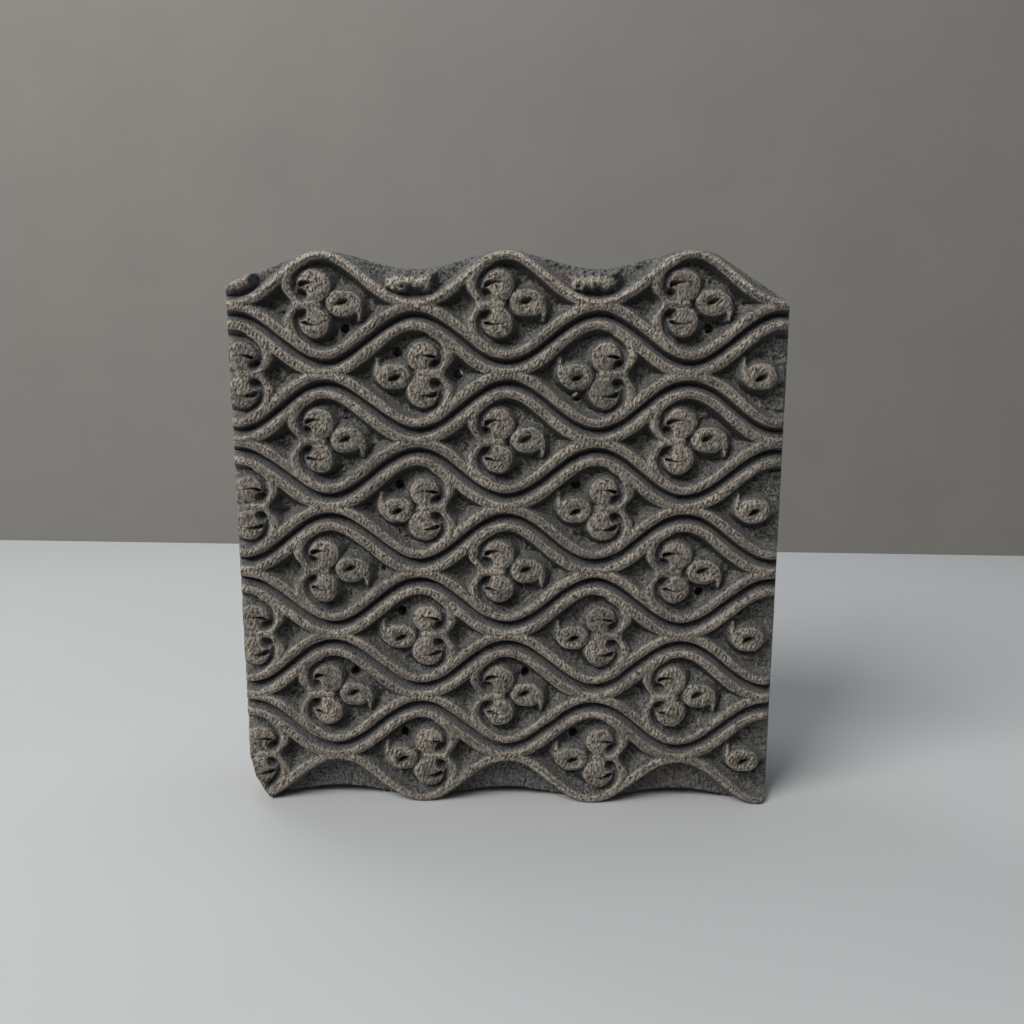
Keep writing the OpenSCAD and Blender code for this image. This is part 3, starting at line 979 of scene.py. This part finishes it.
        fall = fall * smooth_step(1.6, 0.0, np.abs(v - curl.v) - 2.0)
        whorl = self.arc_form(u, v, (curl.u + 0.2, curl.v + 0.1), 1.9, (40.0, 250.0), self.whorl_half)
        whorl = self.whorl_depth * unit(whorl / self.whorl_half)
        curled = np.maximum(eye + dish, np.maximum(whorl, fall))
        return np.maximum(cuts, np.where(half_cell < 0, 0.0, curled))

    def lip(self, at: Spots) -> Array:
        """Reach of the lip along the slanted lower corner.

        Args:
            at: Points of the drawing.

        Returns:
            The lip's width less the distance square to the slanted edge, falling off past the corner.
        """
        p = self.pattern
        wide, high = p.lower_corner
        off_edge = (at.z - p.lower_edge(p.outline_x(at.x))) * wide / math.hypot(wide, high)
        past = np.maximum(at.x + p.face_half - wide / 2, 0.0)
        return self.corner_lip - off_edge - 1.5 * past

    def leftover(self, at: Spots) -> Array:
        """Rough leftovers of a further row, which stand in the upper scallops.

        Args:
            at: Points of the drawing.

        Returns:
            Millimetres inside the nearest leftover, negative outside: ragged level bars of uneven height in the
            scallops, and on the left a stub along that row's lower wave.
        """
        p, x, z = self.pattern, at.x, at.z
        first = p.row_start(0)
        away = x - first - p.cell_w * np.round((x - first) / p.cell_w) + 1.4
        lumps = 1.4 + Hand.LUMP.at(x, 0.0) + np.abs(at.noise(Hand.CRUMBLE)) - 0.3
        bar = np.minimum(lumps - np.abs(z - p.row_z(0) - 6.0), p.leftover_l / 2 + 0.4 - np.abs(away))
        bar = bar + at.noise(Hand.RAG)
        stub = np.minimum(1.3 - np.abs(z - p.wave_z(-1, Wave.LOWER, x)), p.leftover_l / 2 - (x - first))
        stub = stub + at.noise(Hand.STUB)
        return np.where(x < first + 15.0, stub, np.where(x < p.face_half - p.cell_w / 2, bar, FAR_OUTSIDE))

    def depth(self, at: Spots) -> tuple[Array, dict[str, Array]]:
        """Depth of the carved surface below the printing face, near one row.

        Args:
            at: Points of the drawing, on a grid with their heights along its second index.

        Returns:
            The depth, and the marks worn, groove, deep, stroke, stain and dye between 0 and 1. The depth is
            that of a wall which falls from the edge of the nearest form at a steady slope, steeper under it,
            rounded at the top, or of the ground where that is less deep, filleted between them, with the
            slits and tool marks cut in. A lip follows the slanted lower corner.
        """
        p, row, z = self.pattern, at.row, at.z
        near_rows = [replace(at, row=near) for near in range(max(row - 1, 0), min(row + 2, p.rows))]
        form = np.max([soft_max(self.ridge_form(near), self.motif_form(near), self.join_fillet)
                       for near in near_rows], 0)
        upper, lower = (p.wave_z(row, wave, at.x) for wave in Wave)
        in_cell = (z < upper) & (z > lower)
        beyond = ((row == 0) & (z > upper)) | ((row == p.rows - 1) & (z < lower))
        channel = ~(in_cell | beyond)
        form = np.where(beyond, np.maximum(form, self.leftover(at)), form)
        if row == p.rows - 1:
            form = soft_max(form, self.lip(at), self.join_fillet)
        under = smooth_step(0.0, 0.6, np.gradient(form, axis=1) / np.gradient(z, axis=1))
        steep = np.where(beyond, 1.0, under) * smooth_step(0.2, -0.4, form)
        slope = self.wall_slope + (self.under_slope - self.wall_slope) * steep
        wall = 0.5 * slope * (np.sqrt(form * form + self.edge_round) - form)
        gouge = at.noise(Hand.GOUGE) + np.abs(at.noise(Hand.SCOOP)) - 0.5
        grit = at.noise(Hand.GRIT)
        cell_ground = self.ground_depth - self.ground_rise + np.where(beyond, 0.3, 1.0) * gouge + grit
        ground = np.where(channel, self.channel_depth + at.noise(Hand.GROOVE), cell_ground)
        depth = soft_min(wall, ground, self.ground_fillet)
        depth = depth + 0.7 * grit * smooth_step(0.8, 2.5, depth)
        slits = np.where(in_cell, self.slit_depth(at), 0.0) * smooth_step(0.0, 0.3, form)
        depth = soft_max(depth, slits, self.slit_fillet)
        worn = 1.0 - smooth_step(*self.unworn_from, depth)
        strokes, cuts = self.tool_marks(at, form)
        depth = np.clip(depth + worn * cuts + self.edge_wear(at), 0.0, self.deepest)
        # Painted shade: the walls under the ridges, where shade falls, are darkened in colour towards the pore
        # colour
        dye = self.painted_shade_share * np.where(beyond, 0.0, under)
        dye = dye * smooth_step(*self.painted_shade_from, depth) * smooth_step(*self.painted_shade_reach_from, form)
        return depth, {
            "worn": worn,
            "groove": channel * smooth_step(*self.groove_from, depth),
            "deep": np.where(beyond, 0.2, 1.0) * smooth_step(*self.deep_from, depth),
            "stroke": np.where(beyond, np.maximum(strokes, 0.9), strokes),
            "stain": self.stains(at),
            "dye": dye}

    def stains(self, at: Spots) -> Array:
        """Spots of red dye that stayed in the wood.

        Args:
            at: Points of the drawing.

        Returns:
            How red each point is between 0 and 1: each spot fades with the square of the distance, unevenly.
        """
        spots = np.max([np.exp(-((at.x - x) ** 2 + (at.z - z) ** 2) / size ** 2)
                        for x, z, size in self.stain_spots], 0)
        return unit(spots * (0.6 + at.noise(Hand.DYE)))

    def tool_marks(self, at: Spots, form: Array) -> tuple[Array, Array]:
        """Levelling scratches, dents and pits in the tops.

        Args:
            at: Points of the drawing.
            form: Millimetres inside the nearest form.

        Returns:
            How much light wood shows at each point between 0 and 1, and the depth of all marks. The light wood
            is a fine grain, patches of steep, uneven strokes, a net of finer lines where stretched noise changes
            its sign, and the rubbed edge of every top.
        """
        def turned(lean: float) -> tuple[Array, Array]:
            """Places across and along lines that lean by an angle in degrees."""
            cos, sin = math.cos(math.radians(lean)), math.sin(math.radians(lean))
            return at.x * sin - at.z * cos, at.x * cos + at.z * sin

        # Each set of scratches has seeds of its own
        lines = np.zeros_like(at.x)
        for step, lean in zip((0, 4), self.scratch_leans):
            across, along = turned(lean)
            across = across + at.noise(Hand.SCRATCH_BEND, step)
            line = 1.0 - smooth_step(0.04, 0.3, np.abs(Hand.SCRATCH.at(across, along * 0.14, step)))
            lines = np.maximum(lines, line * smooth_step(-0.35, 0.25, at.noise(Hand.SCRATCH_PATCH, step)))
        across = turned(self.stroke_lean)[0] + at.noise(Hand.STROKE_BEND)
        hatch = smooth_step(0.0, 0.7, np.cos(FULL_TURN * across / self.stroke_pitch) + at.noise(Hand.STROKE))
        patch = smooth_step(-0.6, 0.4, at.noise(Hand.STROKE_PATCH))
        calm = (1.0 - 0.5 * smooth_step(1.3, 2.3, form)) * patch
        grain = 0.36 - 0.18 * patch + Hand.GRAIN.at(across, (at.x + 3.0 * at.z) * 0.12)
        lines = np.maximum(np.maximum(0.7 * lines, grain), 0.78 * calm * hatch)
        edge = smooth_step(0.7, 0.3, form) * smooth_step(-0.3, 0.1, form)
        light = np.maximum(lines, edge * (1.0 + at.noise(Hand.RUB)))
        pits = smooth_step(0.4, 0.75, at.noise(Hand.PIT))
        slow = 0.12 + at.noise(Hand.SWELL)
        return unit(light), slow + self.stroke_depth * (1.0 - lines) + self.pit_depth * pits

    def edge_wear(self, at: Spots) -> Array:
        """Rounding of the outer edges and the ridge ends.

        Args:
            at: Points of the drawing.

        Returns:
            A depth that grows with the square of the closeness to the outline.
        """
        p = self.pattern
        out = p.outline_x(at.x)
        near = np.minimum(p.upper_edge(out) - at.z, at.z - p.lower_edge(out))
        gaps = ((near, self.edge_worn), (p.face_half - np.abs(at.x), self.ends_worn))
        return np.maximum(*(size * fade(gap / reach) ** 2 for gap, (size, reach) in gaps))


@dataclass
class PrintingBlock:
    """The carved block: eight bands of relief, one for each row, on a body with a plain back."""

    carving: Carving = field(default_factory=Carving)
    face_y: float = -35.2
    back_y: float = -5.2
    lid_depth: float = 12.0
    back_bevel: float = 3.0
    bevel_fillet: float = 0.8
    edge_worn: Pair = (0.7, 1.4)
    plane_w: float = 11.0
    plane_depth: Pair = (0.1, 0.06)
    saw_depth: float = 0.12
    columns: int = 601
    edge_lines: int = 14
    cell_lines: int = 96
    outer_lines: int = 34
    least_gap: float = 0.3
    body_steps: int = 240
    band_rings: int = 4
    body_rings: int = 8
    drill_sides: int = 24
    drill_over: float = 4.0
    crease: float = 55.0

    def band_heights(self, row: int, x: Array) -> Array:
        """Heights of the grid lines of one band.

        Args:
            row: Number of the row.
            x: Places of the grid's columns.

        Returns:
            Heights, shape (columns, lines): even steps from the band's lower limit to the middle of its lower
            ridge, to the middle of its upper ridge and to its upper limit. The limits are the middles of the
            channels, or the edge of the block.
        """
        p, gap = self.carving.pattern, self.least_gap
        top, bottom = row == 0, row == p.rows - 1
        low = p.lower_edge(p.outline_x(x)) if bottom else p.seam_z(row, x)
        high = p.upper_edge(p.outline_x(x)) if top else p.seam_z(row - 1, x)
        lower = np.maximum(p.wave_z(row, Wave.LOWER, x), low + gap)
        upper = np.minimum(np.maximum(p.wave_z(row, Wave.UPPER, x), lower + gap), high - gap)
        knots = ((low, lower, self.outer_lines if bottom else self.edge_lines), (lower, upper, self.cell_lines),
                 (upper, high, self.outer_lines if top else self.edge_lines))
        parts = [a[:, None] + (b - a)[:, None] * np.arange(n) / n for a, b, n in knots]
        return np.concatenate([*parts, high[:, None]], 1)

    def side_rings(self, border: Array, count: int) -> list[Array]:
        """Carries a rim along Y to the lid in even steps, with faint saw marks on the sides.

        Args:
            border: Points of the rim.
            count: Number of rings.

        Returns:
            The rings. On the two sides each point follows the flare of the block, and between the ends it moves
            inwards by a small uneven amount.
        """
        p = self.carving.pattern
        rings = []
        on_side = np.abs(border[:, 0]) > p.face_half - self.least_gap
        for k in range(1, count + 1):
            x, y, z = border.T
            y = y + (self.face_y + self.lid_depth - y) * k / count
            saw = self.saw_depth + Hand.SAW.at(y * 0.4, z) + Hand.SAW_FINE.at(y, z)
            half = p.half_at(y - self.face_y) - np.maximum(saw, 0.0) * math.sin(math.pi * k / count)
            rings.append(np.stack([np.where(on_side, np.sign(x) * half, x), y, z], -1))
        return rings

    def band(self, row: int) -> bpy.types.Object:
        """Builds the band of relief of one row.

        Args:
            row: Number of the row.

        Returns:
            A closed piece: the carved grid in front, walls along the channels, and a flat lid inside the block.
        """
        p = self.carving.pattern
        columns = np.linspace(-p.face_half, p.face_half, self.columns)
        z = self.band_heights(row, columns)
        x = np.broadcast_to(columns[:, None], z.shape)
        at = Spots(row, x, z)
        depth, marks = self.carving.depth(at)
        dx, dz = self.carving.drift(at)
        out = np.sign(x) * (p.half_at(depth) - p.face_half) * p.near_side(x)
        grid = np.stack([x + dx + out, self.face_y + depth, z + dz], -1)
        points, faces = closed_slab(grid, self.side_rings(rim(grid), self.band_rings), turned=False)
        spare = len(points) - z.size
        marks = {name: np.concatenate([values.reshape(-1), np.zeros(spare)]) for name, values in marks.items()}
        marks["plain"] = np.concatenate([np.zeros(z.size), np.ones(spare)])
        return new_piece(f"relief_row_{row + 1}", points, faces, marks, self.crease)

    def body(self) -> bpy.types.Object:
        """Builds the body behind the relief.

        Returns:
            A closed piece: the back as a grid with plane marks and bevelled upright edges, the four sides, and
            a flat lid where the bands of relief stand.
        """
        p = self.carving.pattern
        columns = np.linspace(-p.half, p.half, self.body_steps + 1)
        share = np.linspace(0.0, 1.0, self.body_steps + 1)
        low, high = p.lower_edge(columns), p.upper_edge(columns)
        z = low[:, None] + (high - low)[:, None] * share
        x = np.broadcast_to(columns[:, None], z.shape)
        side = p.half - np.abs(x)
        edge = np.minimum(high[:, None] - z, z - low[:, None])
        bevel = soft_max(self.back_bevel - side, np.zeros_like(side), self.bevel_fillet)
        worn = self.edge_worn[0] * fade(edge / self.edge_worn[1]) ** 2
        mean, swing = self.plane_depth
        plane = mean + swing * np.cos(FULL_TURN * (x + Hand.PLANE_BEND.at(x, z)) / self.plane_w)
        plane = plane + Hand.PLANE.at(x, z * 0.3) + Hand.PLANE_FINE.at(x, z * 0.2)
        grid = np.stack([x, self.back_y - np.maximum(plane, 0.0) - bevel - worn, z], -1)
        points, faces = closed_slab(grid, self.side_rings(rim(grid), self.body_rings), turned=True)
        return new_piece("block_body", points, faces, {"plain": np.ones(len(points))}, self.crease)

    def drill(self, piece: bpy.types.Object, places: list[Pair]) -> None:
        """Drills the vents through a piece.

        Args:
            piece: The piece.
            places: Places of the vents as x and z.
        """
        if not places:
            return
        turn = np.linspace(0.0, FULL_TURN, self.drill_sides, endpoint=False)
        circle = self.carving.pattern.vent_d / 2 * np.stack([np.cos(turn), np.zeros_like(turn), np.sin(turn)], -1)
        ends = (self.back_y + self.drill_over, self.face_y - self.drill_over)
        rods = [closed_tube(np.stack([np.array([x, y, z]) + circle for y in ends])) for x, z in places]
        rod = new_piece("drill", *joined(rods))
        cut = piece.modifiers.new("vents", "BOOLEAN")
        cut.operation, cut.solver, cut.object = "DIFFERENCE", "MANIFOLD", rod
        graph = bpy.context.evaluated_depsgraph_get()
        piece.data = bpy.data.meshes.new_from_object(
            piece.evaluated_get(graph), preserve_all_data_layers=True, depsgraph=graph)
        piece.modifiers.remove(cut)
        shade(piece.data, self.crease)
        bpy.data.objects.remove(rod)

    def build(self, material: bpy.types.Material) -> None:
        """Builds, drills and dresses the bands and the body.

        Args:
            material: Material of the wood.
        """
        p = self.carving.pattern
        rows = [p.vent_points(row) for row in range(p.rows)]
        pieces = [(self.band(row), places) for row, places in enumerate(rows)]
        for piece, places in [*pieces, (self.body(), sum(rows, []))]:
            self.drill(piece, places)
            finished(piece, material, "printing_block")


# The grip


@dataclass
class GripBar:
    """The bar of the grip: a whittled loaf with finger hollows, let onto its cleats."""

    length: float = 128.0
    width: float = 28.0
    thickness: float = 20.0
    under_y: float = 13.8
    middle_z: float = 79.45
    waist: float = 2.4
    finger_l: float = 76.0
    end_power: float = 7.0
    upper_power: float = 3.0
    lower_power: float = 7.0
    end_thickness: float = 0.25
    cut_back: float = 0.26
    stations: int = 161
    around: int = 96

    def sections(self) -> Array:
        """Works out the sections along the bar.

        Returns:
            Points, shape (stations, around, 3). Each section is a rounded square whose upper half is rounder
            than its lower half. Its width shrinks by the finger hollows, and both its sizes shrink at the ends
            by the same high power of the way along, so that the ends are round too.
        """
        turn = np.linspace(-np.pi / 2, np.pi / 2, self.stations)
        along = squared_off(np.sin(turn), self.end_power) * 0.999
        size = np.maximum(1 - np.abs(along) ** self.end_power, 0.0) ** (1 / self.end_power)
        x = along * self.length / 2
        angle = np.linspace(0, FULL_TURN, self.around, endpoint=False)
        power = np.where(np.sin(angle) > 0, self.upper_power, self.lower_power)
        hollow = self.waist * fade((x / (self.finger_l / 2)) ** 2)
        z = (self.width / 2 - hollow)[:, None] * size[:, None] * squared_off(np.cos(angle), power)
        tall = self.end_thickness + (1 - self.end_thickness) * size
        y = self.thickness / 2 * tall[:, None] * squared_off(np.sin(angle), power)
        x = x[:, None]
        bumps = Hand.WHITTLE.at(x, angle * 9.0) + Hand.WHITTLE_FINE.at(x * 0.5, angle * 9.0)
        shrink = 1 - (self.cut_back + bumps) / (self.width / 2)
        points = [np.broadcast_to(x, y.shape), self.under_y + self.thickness / 2 + y * shrink,
                  self.middle_z + z * shrink]
        return np.stack(points, -1)[:, ::-1]

    def build(self, material: bpy.types.Material) -> None:
        """Builds and dresses the bar in its wood."""
        piece = new_piece("grip_bar_whittled", *closed_tube(self.sections()))
        finished(piece, material, "grip_bar")


@dataclass
class Cleat:
    """One of the two cleats that carry the bar, splayed at the block and chamfered by hand."""

    side: Side
    inner_x: float = 38.0
    thickness: float = 17.0
    splay: float = 4.0
    width: float = 23.0
    foot_y: float = -8.1
    back_y: float = -5.2
    bar_y: float = 13.8
    top_y: float = 16.7
    middle_z: float = 79.45
    corner_power: float = 12.0
    cut_back: float = 0.1
    smooth_end: float = 4.0
    stations: int = 60
    around: int = 96
    crease: float = 35.0

    def sections(self) -> Array:
        """Works out the sections along the cleat.

        Returns:
            Points, shape (stations, around, 3). Each section is a rounded rectangle, a circle raised to a high
            power. Its outer side leans in by the splay between the block and the bar.
        """
        y = np.linspace(self.foot_y, self.top_y, self.stations)[:, None]
        half_x = (self.thickness + self.splay * unit((self.bar_y - y) / (self.bar_y - self.back_y))) / 2
        middle_x = self.side * (self.inner_x + half_x)
        angle = np.linspace(0, FULL_TURN, self.around, endpoint=False)
        marks = self.cut_back + Hand.CHISEL.at(y, angle * 8.0) * unit((self.bar_y - y) / self.smooth_end)
        x = middle_x + (half_x - marks) * squared_off(np.cos(angle), self.corner_power)
        z = self.middle_z + (self.width / 2 - marks) * squared_off(np.sin(angle), self.corner_power)
        return np.stack([x, np.broadcast_to(y, x.shape), z], -1)[:, ::-1]

    def build(self, material: bpy.types.Material) -> None:
        """Builds and dresses the cleat.

        Args:
            material: Material of the wood.
        """
        name = f"{self.side.name.lower()}_cleat"
        piece = new_piece(f"{name}_cut", *closed_tube(self.sections()), crease=self.crease)
        finished(piece, material, name)


@dataclass
class BarNails:
    """The four forged nails over the cleats, with hammered four-sided heads."""

    nail_x: float = 46.5
    gap: float = 8.0
    crown_y: float = 33.8
    head_w: float = 6.0
    shank_w: float = 2.6
    shank_l: float = 27.0
    tip_r: float = 0.5
    middle_z: float = 79.45
    around: int = 48
    crease: float = 28.0
    head_steps: tuple[Pair, ...] = (
        (0.44, -0.35), (0.49, 0.05), (0.47, 0.4), (0.36, 0.8), (0.22, 1.15), (0.09, 1.33))

    def one(self, x: float, number: int) -> tuple[Array, Faces]:
        """Works out one nail.

        Args:
            x: Place of the nail along the bar.
            number: Number of the nail, for its hammer marks.

        Returns:
            Points and faces of a profile turned about Y, whose round is drawn out to a square: tip, shank,
            underside of the head, rim and a low four-sided crown.
        """
        shank = [(self.tip_r, -self.shank_l), (self.shank_w / 2, -6.0), (self.shank_w / 2, -0.4)]
        steps = np.array(shank + [(self.head_w * share, y) for share, y in self.head_steps])
        angle = np.linspace(0, FULL_TURN, self.around, endpoint=False)
        square = 1.0 / np.maximum(np.abs(np.cos(angle)), np.abs(np.sin(angle))) ** 0.55
        place = np.full((len(steps), 1), float(Hand.HAMMER.value[0] + number))
        uneven = 1.0 - 0.06 * (1 + Hand.HAMMER.at(angle, place, number))
        radius = steps[:, :1] * square * uneven * 0.88
        points = [x + radius * np.cos(angle), np.broadcast_to(self.crown_y + steps[:, 1:], radius.shape),
                  self.middle_z + radius * np.sin(angle)]
        return closed_tube(np.stack(points, -1)[:, ::-1])

    def build(self, material: bpy.types.Material) -> None:
        """Builds and dresses the nails.

        Args:
            material: Material of the iron.
        """
        places = [side * self.nail_x + end * self.gap / 2 for side in Side for end in Side]
        nails = joined([self.one(x, number) for number, x in enumerate(places)])
        finished(new_piece("bar_nails_forged", *nails, crease=self.crease), material, "bar_nails")


# The studio


class Lamp(NamedTuple):
    """A soft square lamp: name, place and side in metres, power in watts and colour."""

    name: str
    place: tuple[float, float, float]
    size: float
    power: float
    colour: str


@dataclass
class Studio:
    """Pale floor, plain backdrop, soft light and the camera."""

    eye: tuple[float, float, float] = (7.35, -293.45, 135.41)
    pitch: float = 10.404
    yaw: float = 1.267
    focus: float = 940.0
    image_w: float = 1024.0
    sensor_w: float = 36.0
    clip: Pair = (0.01, 20.0)
    reach: float = 2500.0
    backdrop_y: float = 312.0
    backdrop_turn: float = -0.0491
    backdrop_foot: float = -5.0
    table: MattSheet = MattSheet("pale_paper_table", "B3B5B6", "ACAEAE", 180.0)
    plaster: MattSheet = MattSheet("plain_plaster_wall", "817E7A", "75736F", 60.0)
    aim: tuple[float, float, float] = (0.0, 0.0, 0.08)
    air: str = "EEF2F7"
    air_light: float = 0.07
    lamps: tuple[Lamp, ...] = (
        Lamp("key_lamp", (-0.75, -0.8, 1.1), 0.8, 26.0, "FFFEFB"),
        Lamp("top_lamp", (0.1, 0.25, 1.2), 0.8, 6.0, "EAF1FF"),
        Lamp("front_lamp", (-0.35, -1.5, 0.8), 1.2, 1.2, "FFFFFF"),
        Lamp("back_lamp", (-0.3, 0.28, 0.62), 0.3, 1.4, "FFFFFF"))

    def sheet(self, name: str, corners: list[tuple[float, float, float]], finish: MattSheet) -> None:
        """Adds a flat sheet that isn't part of the object.

        Args:
            name: Name of the sheet.
            corners: Its four corners in millimetres.
            finish: Its finish.
        """
        mesh = bpy.data.meshes.new(name)
        mesh.from_pydata((np.array(corners) * MM).tolist(), [], [[0, 1, 2, 3]])
        mesh.materials.append(finish.material())
        sheet = bpy.data.objects.new(name, mesh)
        bpy.context.scene.collection.objects.link(sheet)

    def light(self, lamp: Lamp) -> None:
        """Adds a lamp that points at the block.

        Args:
            lamp: The lamp.
        """
        light = bpy.data.lights.new(lamp.name, "AREA")
        light.size, light.energy, light.color = lamp.size, lamp.power, linear(lamp.colour)[:3]
        holder = bpy.data.objects.new(lamp.name, light)
        holder.location = lamp.place
        holder.visible_camera = False
        holder.rotation_euler = (Vector(self.aim) - holder.location).to_track_quat("-Z", "Y").to_euler()
        bpy.context.scene.collection.objects.link(holder)

    def camera(self) -> bpy.types.Object:
        """Adds the camera at the fitted place.

        Returns:
            The camera.
        """
        camera = bpy.data.cameras.new("camera")
        camera.sensor_width, camera.lens = self.sensor_w, self.focus / self.image_w * self.sensor_w
        camera.clip_start, camera.clip_end = self.clip
        holder = bpy.data.objects.new("camera", camera)
        holder.location = Vector(self.eye) * MM
        holder.rotation_euler = (math.radians(90.0 - self.pitch), 0.0, math.radians(self.yaw))
        bpy.context.scene.collection.objects.link(holder)
        return holder

    def build(self) -> None:
        """Adds the floor, the backdrop, the lamps, the world and the camera."""
        scene, far, foot = bpy.context.scene, self.reach, self.backdrop_foot
        scene.view_settings.view_transform = "Standard"
        left, right = (self.backdrop_y + side * far * self.backdrop_turn for side in Side)
        self.sheet("floor", [(-far, -far, 0), (far, -far, 0), (far, right, 0), (-far, left, 0)], self.table)
        self.sheet("backdrop", [(-far, left, foot), (far, right, foot), (far, right, far), (-far, left, far)],
                   self.plaster)
        for lamp in self.lamps:
            self.light(lamp)
        world = bpy.data.worlds.new("studio_air")
        world.use_nodes = True
        air = world.node_tree.nodes["Background"].inputs
        air["Color"].default_value, air["Strength"].default_value = linear(self.air), self.air_light
        scene.world = world
        scene.camera = self.camera()


def main() -> None:
    """Builds every sub-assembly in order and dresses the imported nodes."""
    logging.basicConfig(level=logging.INFO, format="%(message)s")
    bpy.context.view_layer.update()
    iron, wood = ForgedIron().material(), HandledHardwood().material()
    PrintingBlock().build(CarvedHardwood().material())
    GripBar().build(wood)
    for side in Side:
        Cleat(side).build(wood)
    BarNails().build(iron)
    hidden_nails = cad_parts["cleat_nails"]
    hidden_nails.data.materials.clear()
    hidden_nails.data.materials.append(iron)
    LOG.info("cleat_nails keeps its packed shape")
    Studio().build()


if __name__ == "__main__":
    main()
